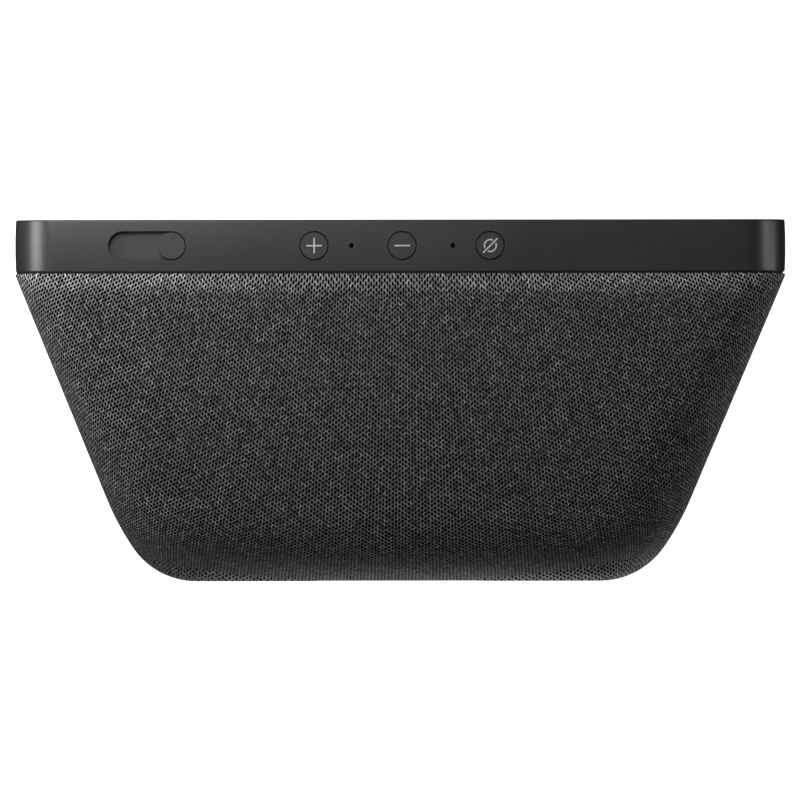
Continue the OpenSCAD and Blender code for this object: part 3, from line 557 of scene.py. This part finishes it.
def profile_length(d):
    """Length of the middle profile from the seam to depth d, carried on straight past the rear."""
    return float(np.interp(d, *PROFILE)) + max(0, d - END_D) * PAST_REAR


def row_of(length):
    """Rows are a little closer together the further they lie from the seam."""
    bent = min(length, EVEN_FROM)
    rows = -math.log(1 - TIGHTER * bent / ROW) / TIGHTER
    return rows + (length - bent) / (ROW - TIGHTER * EVEN_FROM)


def knit_uv(ring, d):
    """u and v of each point of a ring: columns fan out from one point, rows are arcs round it."""
    sides = [math.hypot(b[0] - a[0], b[1] - a[1]) for a, b in zip(ring, ring[1:])]
    arc = np.concatenate([[0], np.cumsum(sides)])
    x = arc - arc[len(arc) // 2]
    far = x - FAN_X
    far = far / (1 + (np.abs(far) / SETTLE) ** 4) ** 0.25
    from_fan = d - FAN_D
    density = from_fan / (FAN * (from_fan ** 2 + far ** 2))
    steps = np.diff(x) * (density[1:] + density[:-1]) / 2
    u = np.concatenate([[0], np.cumsum(steps)])
    u -= u[len(u) // 2]
    v = [row_of(profile_length(math.hypot(a, from_fan) + FAN_D)) for a in far]
    return u, v


def cover_depths(e, edge_steps=6, slope_steps=24, rear_steps=26):
    """The depths of the cover's sections, closer together round its edges."""
    edge = EDGE_D + (EDGE_R - e) * math.sin(BACK_SLOPE)
    rear = BODY_DEPTH - e - CORNER_D
    out = [SEAM_D, (SEAM_D + EDGE_D) / 2]
    out += [EDGE_D + (edge - EDGE_D) * i / edge_steps for i in range(edge_steps + 1)]
    out += [edge + (CORNER_D - edge) * i / slope_steps for i in range(1, slope_steps)]
    out += [CORNER_D + rear * math.sin(math.radians(90 * i / rear_steps)) for i in range(rear_steps + 1)]
    return out


def knit_cover():
    """The cover as one closed sheet, with a map of its knit."""
    points, faces, uvs = [], [], []
    roll = FABRIC_T / 2
    outer, inner = cover_depths(0), cover_depths(FABRIC_T)

    def rolled(step):
        a = math.radians(90 * step / ROLL_STEPS)
        return SEAM_D + roll * (1 - math.sin(a)), roll * (1 - math.cos(a))

    # The cut edge at the seam rolls over in a small round
    sections = [rolled(k) for k in range(ROLL_STEPS, 0, -1)]
    sections += [(d, 0.0) for d in outer if d > SEAM_D + roll]
    back = [(d, FABRIC_T) for d in inner if d > SEAM_D + roll][::-1]
    back += [(d, FABRIC_T - e) for d, e in map(rolled, range(1, ROLL_STEPS + 1))]
    uv_rows = []
    for d, e in sections + back:
        ring = ring_2d(max(d, SEAM_D), e)
        uv_rows.append(list(zip(*knit_uv(ring, d))))
        points.extend(world(x, d, s) for x, s in ring)
    n = len(ring)
    total = len(sections) + len(back)
    turn = len(sections) - 1
    for i in range(total):
        j = (i + 1) % total
        if i == turn:
            continue
        for k in range(n - 1):
            faces.append((i * n + k, i * n + k + 1, j * n + k + 1, j * n + k))
            uvs.append([uv_rows[i][k], uv_rows[i][k + 1], uv_rows[j][k + 1], uv_rows[j][k]])
    # The flat rear faces, outside and inside: the rows run on straight down them
    for row, (d, e) in ((turn, sections[-1]), (turn + 1, back[0])):
        ring = ring_2d(d, e)
        first = row_of(profile_length(d)) + top_s(d, e) / REAR_ROW
        column = FAN * (d - FAN_D)
        corners = list(range(n - 1))[::1 if row == turn else -1]
        faces.append(tuple(row * n + c for c in corners))
        uvs.append([(ring[c][0] / column, first - ring[c][1] / REAR_ROW) for c in corners])
    obj = new_object("knit_cover", points, faces)
    layer = obj.data.uv_layers.new(name="knit")
    corner_uv = [corner for face in uvs for corner in face]
    if len(obj.data.loops) != len(corner_uv):
        raise RuntimeError(f"the knit's map has {len(corner_uv)} corners, not {len(obj.data.loops)}")
    layer.data.foreach_set("uv", [x for corner in corner_uv for x in corner])
    bm = bmesh.new()
    bm.from_mesh(obj.data)
    bmesh.ops.remove_doubles(bm, verts=bm.verts, dist=1e-6)
    bmesh.ops.recalc_face_normals(bm, faces=bm.faces)
    bm.to_mesh(obj.data)
    bm.free()
    return obj


def prism(name, outline, low, high, matrix):
    """A prism along z of the given frame, from an outline of (x, y), all in millimetres."""
    rings = [[matrix @ Vector((x * MM, y * MM, z * MM)) for x, y in outline] for z in (low, high)]
    return loft(name, rings)


def rounded(w, h, r, cx=0.0, cy=0.0, steps=12):
    """The outline of a rectangle with rounded corners, as (x, y)."""
    out = []
    for sx, sy, start in ((1, 1, 0), (-1, 1, 90), (-1, -1, 180), (1, -1, 270)):
        for i in range(steps + 1):
            a = math.radians(start + 90 * i / steps)
            x, y = cx + sx * (w / 2 - r), cy + sy * (h / 2 - r)
            out.append((x + r * math.cos(a), y + r * math.sin(a)))
    return out


# ---------------------------------------------------------------- the slab
# The edge face: its rounded edges, the rise of its crown, and the steps of each
FILLET = 0.45
CROWN = 0.18
FILLET_STEPS = 7
CROWN_STEPS = 8
OUTLINE_STEPS = 24
# The openings in the top wall, and the lips round them
WALL_T = 2.2
WALL_S = SLAB_H - WALL_T
CONTROL_D = 6.8
BUTTON_X = [22.5, -0.4, -23.3]
BORE_R = 3.8
BORE_LIP = 0.12
RELIEF_R = 4.75
RELIEF_DEPTH = 6.0
SLOT_X, SLOT_LEN, SLOT_W = 65.9, 20.2, 7.5
SLOT_LIP = 0.22
MIC_X = [12.8, -13.6]
MIC_D = 1.2
MIC_LIP = 0.1
# The seats for the glass, the panel and the camera
GLASS_EDGE = 1.2
LEDGE_D, POCKET_D = 1.5, 2.9
PANEL_W, PANEL_H, PANEL_R = 182.1, 116.5, 2.0
PANEL_S = SLAB_H / 2 - 2.4
CAMERA_X, CAMERA_W, CAMERA_R = 66.1, 50.2, 0.3
CAMERA_LOW = 120.5
# A cutter stops this short of a wall that another cutter also meets
SHORT = 0.02
# Bosses behind the glass, and ribs under the top wall, which are sunk a little into the slab
BOSS_W = 5.0
BOSS_BACK = 8.5
BOSS_SIDE_X, BOSS_SIDE_S = 94.5, (25, 108)
BOSS_LOW_X, BOSS_LOW_S = (-60, 0, 60), 4.8
BOSS_TOP_X, BOSS_TOP_S = (-40, 36.5), 127.4
RIB_X, RIB_T, RIB_R = 32.2, 2.0, 0.2
RIB_LOW = 123.2
RIB_BACK = 11.3
SUNK = 0.3
# The screen's frame seen from the front, so that a prism's z is the depth
facing_back = SCREEN @ Matrix(((1, 0, 0, 0), (0, 0, 1, 0), (0, 1, 0, 0), (0, 0, 0, 1)))


def slab_outline(e):
    """The slab's outline, e inside the outermost one."""
    return rounded(WIDTH - 2 * e, SLAB_H - 2 * e, SLAB_R - e, 0, SLAB_H / 2, OUTLINE_STEPS)


def control_hole(name, x, length, w, lip):
    return flared_hole(name, x, CONTROL_D, length, w, SLAB_H, WALL_S - CLEAR, lip)


def slab_piece():
    """The slab's frame, hollow behind, with its seats, openings, bosses and ribs."""
    # The edge face is crowned a little, and its two long edges are rounded
    edge = CROWN * (1 - (1 - 2 * FILLET / SLAB_T) ** 2)
    rings = []
    for i in range(FILLET_STEPS + 1):
        a = math.radians(90 * i / FILLET_STEPS)
        rings.append((FILLET * (1 - math.cos(a)), CROWN - edge + FILLET * (1 - math.sin(a))))
    for i in range(1, CROWN_STEPS):
        d = FILLET + (SLAB_T / 2 - FILLET) * i / CROWN_STEPS
        rings.append((d, CROWN * (1 - 2 * d / SLAB_T) ** 2))
    rings += [(SLAB_T / 2, 0)] + [(SLAB_T - d, e) for d, e in reversed(rings)]
    obj = loft("slab_frame", [[world(x, d, s) for x, s in slab_outline(e)] for d, e in rings])
    # Blind holes first, in the solid; the cavity then opens them from inside
    cutters = [control_hole("slot_hole", SLOT_X, SLOT_LEN, SLOT_W, SLOT_LIP)]
    cutters += [control_hole("button_hole", x, 2 * BORE_R, 2 * BORE_R, BORE_LIP) for x in BUTTON_X]
    cutters += [control_hole("mic_hole", x, MIC_D, MIC_D, MIC_LIP) for x in MIC_X]
    camera_top = WALL_S - SHORT
    camera_seat = rounded(CAMERA_W, camera_top - CAMERA_LOW, CAMERA_R,
                          CAMERA_X, (camera_top + CAMERA_LOW) / 2, 2)
    panel_seat = rounded(PANEL_W, PANEL_H, PANEL_R, 0, PANEL_S)
    cutters += [
        prism("glass_seat", slab_outline(GLASS_EDGE), -CLEAR, LEDGE_D, facing_back),
        prism("panel_seat", panel_seat, LEDGE_D - CLEAR, POCKET_D + CLEAR, facing_back),
        prism("cavity", slab_outline(WALL_T), POCKET_D, SLAB_T + CLEAR, facing_back),
        prism("camera_pocket", camera_seat, LEDGE_D - CLEAR, POCKET_D + CLEAR, facing_back),
    ]
    for x in BUTTON_X:
        ring = stadium(x, CONTROL_D, 2 * RELIEF_R, 2 * RELIEF_R, 20)
        depths = (RELIEF_DEPTH, SHORT)
        cutters.append(loft("relief", [[world(a, d, WALL_S - depth) for a, d in ring] for depth in depths]))
    boolean(obj, cutters)
    bosses = [(side * BOSS_SIDE_X, s) for s in BOSS_SIDE_S for side in (-1, 1)]
    bosses += [(x, BOSS_LOW_S) for x in BOSS_LOW_X] + [(x, BOSS_TOP_S) for x in BOSS_TOP_X]
    inner = []
    for x, s in bosses:
        # Just short of a full round, so that no two points of the outline meet
        outline = rounded(BOSS_W, BOSS_W, BOSS_W / 2 - 0.001, x, s, 6)
        inner.append(prism("boss", outline, POCKET_D - SUNK, BOSS_BACK, facing_back))
    rib_top = WALL_S + SUNK
    for x in (-RIB_X, RIB_X):
        outline = rounded(RIB_T, rib_top - RIB_LOW, RIB_R, x, (rib_top + RIB_LOW) / 2, 2)
        inner.append(prism("rib", outline, POCKET_D - SUNK, RIB_BACK, facing_back))
    boolean(obj, inner, "UNION")
    weight = obj.modifiers.new("weight", "WEIGHTED_NORMAL")
    shade(obj, 35)
    weight.keep_sharp, weight.weight, weight.mode = True, 80, "FACE_AREA"
    apply_modifiers(obj)
    return obj


cover = knit_cover()
slab = slab_piece()

# The cover's two openings: one round the base plate, one round the sockets
BASE_W, BASE_D, BASE_R = 120.6, 46.6, 14.0
BASE_Y = FRONT_Y + 47.0
BASE_LOW, BASE_HIGH = FOOT_T - 1.5, FOOT_T + 7.0
PORT_W, PORT_H, PORT_R = 46.6, 15.0, 4.3
PORT_S = 25.8
PORT_FROM, PORT_TO = BODY_DEPTH - 14.0, BODY_DEPTH + 5.0
foot_hole = prism("foot_hole", rounded(BASE_W, BASE_D, BASE_R, 0, BASE_Y),
                  BASE_LOW, BASE_HIGH, Matrix.Identity(4))
port_hole = prism("port_hole", rounded(PORT_W, PORT_H, PORT_R, 0, PORT_S),
                  PORT_FROM, PORT_TO, facing_back)
boolean(cover, [foot_hole, port_hole])
shade(cover, 40)
cover.data.materials.clear()
cover.data.materials.append(knit_material())
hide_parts("fabric_cover")
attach(cover, "display_unit")

slab.data.materials.clear()
slab.data.materials.append(slab_material())
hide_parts("front_bezel")
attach(slab, "display_unit")

# ---------------------------------------------------------------- materials on the CAD nodes
# By slot name. The two CAD nodes that are replaced get a material too.
MATERIALS = {
    "slab_plastic": slab.data.materials[0],
    "black_glass": glass("black_glass", (0.004, 0.004, 0.0045)),
    "black_foam": rubber("black_foam", (0.008, 0.008, 0.008), 0.95),
    "film": plastic("film", (0.05, 0.05, 0.055), 0.2),
    "lcd": glass("lcd", (0.01, 0.01, 0.012), 0.15),
    "tray_metal": metal("tray_metal", (0.55, 0.56, 0.57)),
    "chassis_metal": metal("chassis_metal", (0.45, 0.46, 0.47), 0.4),
    "screw_steel": metal("screw_steel", (0.35, 0.35, 0.36), 0.3, False),
    "camera_black": plastic("camera_black", (0.02, 0.02, 0.02), 0.6),
    "lens_glass": glass("lens_glass", (0.01, 0.014, 0.03), 0.02),
    "board": board("board_mask", (0.012, 0.05, 0.025)),
    "knob_plastic": plastic("knob_satin", (0.031, 0.031, 0.032), 0.42),
    "vane_plastic": plastic("vane_plastic", (0.75, 0.74, 0.7), 0.6),
    "inner_plastic": plastic("inner_plastic", (0.02, 0.02, 0.021), 0.55),
    "button_plastic": plastic("button_satin", (0.029, 0.029, 0.030), 0.45),
    "symbol_ink": painted("symbol_ink", (0.52, 0.52, 0.52)),
    "gold_can": metal("gold_can", (0.78, 0.6, 0.3), 0.3, False),
    "black_rubber": rubber("black_rubber", (0.01, 0.01, 0.01)),
    "can_metal": metal("can_metal", (0.62, 0.62, 0.62), 0.3),
    "chip_plastic": plastic("chip_plastic", (0.018, 0.018, 0.018), 0.5),
    "pad_rubber": rubber("pad_rubber", (0.2, 0.24, 0.3)),
    "antenna_film": plastic("antenna_film", (0.42, 0.25, 0.08), 0.3),
    "flex_film": plastic("flex_film", (0.5, 0.32, 0.1), 0.3),
    "knit": rubber("knit_back", (0.03, 0.03, 0.03), 0.9),
    "foot_rubber": rubber("foot_rubber", (0.012, 0.012, 0.0122), 0.75),
    "radiator_metal": metal("radiator_metal", (0.2, 0.2, 0.205), 0.45),
    "port_plastic": plastic("port_plastic", (0.016, 0.016, 0.017), 0.45),
    "basket_metal": metal("basket_metal", (0.1, 0.1, 0.105), 0.5, False),
    "magnet_metal": metal("magnet_metal", (0.4, 0.4, 0.42), 0.35, False),
    "cone_paper": paper("cone_paper", (0.02, 0.02, 0.02)),
}
NODE_SLOTS = {
    "slab_plastic": ["front_bezel"],
    "black_glass": ["cover_glass"],
    "black_foam": ["glass_tape", "housing_seal", "microphone_seals"],
    "film": ["touch_sensor"],
    "lcd": ["display_panel"],
    "tray_metal": ["backlight_tray"],
    "chassis_metal": ["chassis_plate", "heat_sink"],
    "screw_steel": ["chassis_screws", "board_screws", "base_screws", "button_switches"],
    "camera_black": ["camera_module", "light_sensor", "microphones"],
    "lens_glass": ["camera_lens"],
    "board": ["camera_board", "button_board", "main_board", "port_board"],
    "knob_plastic": ["shutter_slider"],
    "vane_plastic": ["shutter_vane"],
    "inner_plastic": ["shutter_guide", "rear_housing", "base_plate", "sound_grilles",
                      "speaker_box", "speaker_baffle"],
    "button_plastic": ["volume_up_button", "volume_down_button", "mute_button"],
    "symbol_ink": ["volume_up_symbol", "volume_down_symbol", "mute_symbol"],
    "gold_can": ["power_inlet_pin"],
    "black_rubber": ["left_driver_surround", "right_driver_surround", "radiator_surround"],
    "can_metal": ["shield_cans", "service_port"],
    "chip_plastic": ["board_parts"],
    "pad_rubber": ["thermal_pads"],
    "antenna_film": ["antennas"],
    "flex_film": ["display_cable", "control_cable"],
    "knit": ["fabric_cover"],
    "foot_rubber": ["rubber_foot"],
    "radiator_metal": ["radiator_plate"],
    "port_plastic": ["port_plate", "power_inlet", "audio_jack"],
    "basket_metal": ["radiator_frame", "left_driver_frame", "right_driver_frame"],
    "magnet_metal": ["left_driver_magnet", "right_driver_magnet"],
    "cone_paper": ["left_driver_cone", "right_driver_cone"],
}
dressed = set()
for slot_name, names in NODE_SLOTS.items():
    for name in names:
        node = frame["nodes"][name]
        node.data.materials.clear()
        node.data.materials.append(MATERIALS[slot_name])
        dressed.add(name)
missing = sorted(set(frame["nodes"]) - dressed)
if missing:
    raise RuntimeError(f"these nodes have no material: {missing}")

# ---------------------------------------------------------------- floor, light and camera
# The floor lies a hair under the foot. It glows by itself and takes no part in the light on
# the object, so it shows as an even pale ground.
FLOOR_Z = -0.00002
FLOOR_HALF = 20.0
FLOOR_GLOW = 1.2
WHITE = (1, 1, 1, 1)
corners = [(-1, -1), (1, -1), (1, 1), (-1, 1)]
floor = new_object("floor", [(x * FLOOR_HALF, y * FLOOR_HALF, FLOOR_Z) for x, y in corners], [(0, 1, 2, 3)])
pale = Tree("pale_floor")
pale.set(color=(0.9, 0.9, 0.9), rough=0.9)
pale.shader.inputs["Emission Color"].default_value = WHITE
pale.shader.inputs["Emission Strength"].default_value = FLOOR_GLOW
floor.data.materials.append(pale.material)
floor.visible_diffuse = floor.visible_glossy = floor.visible_shadow = False

scene = bpy.context.scene
scene.view_settings.view_transform = "Standard"
scene.view_settings.look = "None"
# The world is white to the camera, and gives the object only a faint even light
AMBIENT = 0.01
backdrop = bpy.data.worlds.new("studio")
scene.world = backdrop
backdrop.use_nodes = True
nodes, links = backdrop.node_tree.nodes, backdrop.node_tree.links
ambient = nodes["Background"]
ambient.inputs["Color"].default_value = WHITE
ambient.inputs["Strength"].default_value = AMBIENT
seen = nodes.new("ShaderNodeBackground")
seen.inputs["Color"].default_value = WHITE
path = nodes.new("ShaderNodeLightPath")
either = nodes.new("ShaderNodeMixShader")
links.new(path.outputs["Is Camera Ray"], either.inputs[0])
links.new(ambient.outputs[0], either.inputs[1])
links.new(seen.outputs[0], either.inputs[2])
links.new(either.outputs[0], nodes["World Output"].inputs["Surface"])

# Each softbox, in the screen's frame in metres: its place from the middle of the object (x, d, s),
# its size, its power, what it is aimed at, and the angle that its grid lets out
MIDDLE = world(0, 47, 90)
CENTRE = (0, 0, 0)
OPEN = 180
GRID = 24
LIGHTS = {
    "near_box": ((0.12, -0.167, 0.263), (0.12, 0.12), 0.53, CENTRE, OPEN),
    "high_box": ((0.12, -0.167, 0.493), (0.16, 0.16), 0.24, CENTRE, OPEN),
    "left_box": ((0.25, -0.055, 0.14), (0.10, 0.10), 0.36, CENTRE, OPEN),
    "near_rear_box": ((0.12, 0.053, 0.193), (0.08, 0.08), 0.02, CENTRE, OPEN),
    "bounce_rear_box": ((-0.07, 0.20, -0.407), (0.25, 0.12), 0.52, CENTRE, OPEN),
    "bounce_left_box": ((0.10, 0.24, -0.24), (0.12, 0.08), 0.09, CENTRE, OPEN),
    "right_fill": ((-0.6, 0.05, 0.10), (0.30, 0.20), 0.55, CENTRE, OPEN),
    "right_box": ((-0.37, -0.06, 0.19), (0.12, 0.12), 0.0070, (-0.1, -0.04, 0.04), GRID),
}
axes = SCREEN.to_3x3()
for name, (place, size, power, target, angle) in LIGHTS.items():
    lamp = bpy.data.lights.new(name, "AREA")
    lamp.shape = "RECTANGLE"
    lamp.size, lamp.size_y = size
    lamp.energy = power
    lamp.spread = math.radians(angle)
    softbox = bpy.data.objects.new(name, lamp)
    softbox.location = MIDDLE + axes @ Vector(place)
    softbox.rotation_mode = "QUATERNION"
    softbox.rotation_quaternion = (axes @ (Vector(target) - Vector(place))).to_track_quat("-Z", "Y")
    softbox.visible_camera = False
    scene.collection.objects.link(softbox)

# The camera looks down along the screen from far above, a hair from behind and from the left
SHOWN = 207.94 * MM
DISTANCE = 9.6
SENSOR = 36.0
AIM_X, AIM_D = 0.23, 46.94
FROM_BEHIND = math.radians(0.28)
FROM_LEFT = math.radians(0.42)
ROLL = math.radians(-0.077)
camera_data = bpy.data.cameras.new("camera")
camera_data.lens = SENSOR * DISTANCE / SHOWN
camera_data.clip_start, camera_data.clip_end = 1.0, 40.0
camera = bpy.data.objects.new("camera", camera_data)
side, rear, up = axes.col[0], axes.col[1], axes.col[2]
back = (up + rear * math.tan(FROM_BEHIND) + side * math.tan(FROM_LEFT)).normalized()
level_up = back.cross(-side).normalized()
level_right = level_up.cross(back).normalized()
picture_right = level_right * math.cos(ROLL) + level_up * math.sin(ROLL)
picture_up = level_up * math.cos(ROLL) - level_right * math.sin(ROLL)
turn = Matrix((picture_right, picture_up, back)).transposed()
aim = world(AIM_X, AIM_D, SLAB_H)
camera.matrix_world = Matrix.Translation(aim + back * DISTANCE) @ turn.to_4x4()
scene.collection.objects.link(camera)
scene.camera = camera
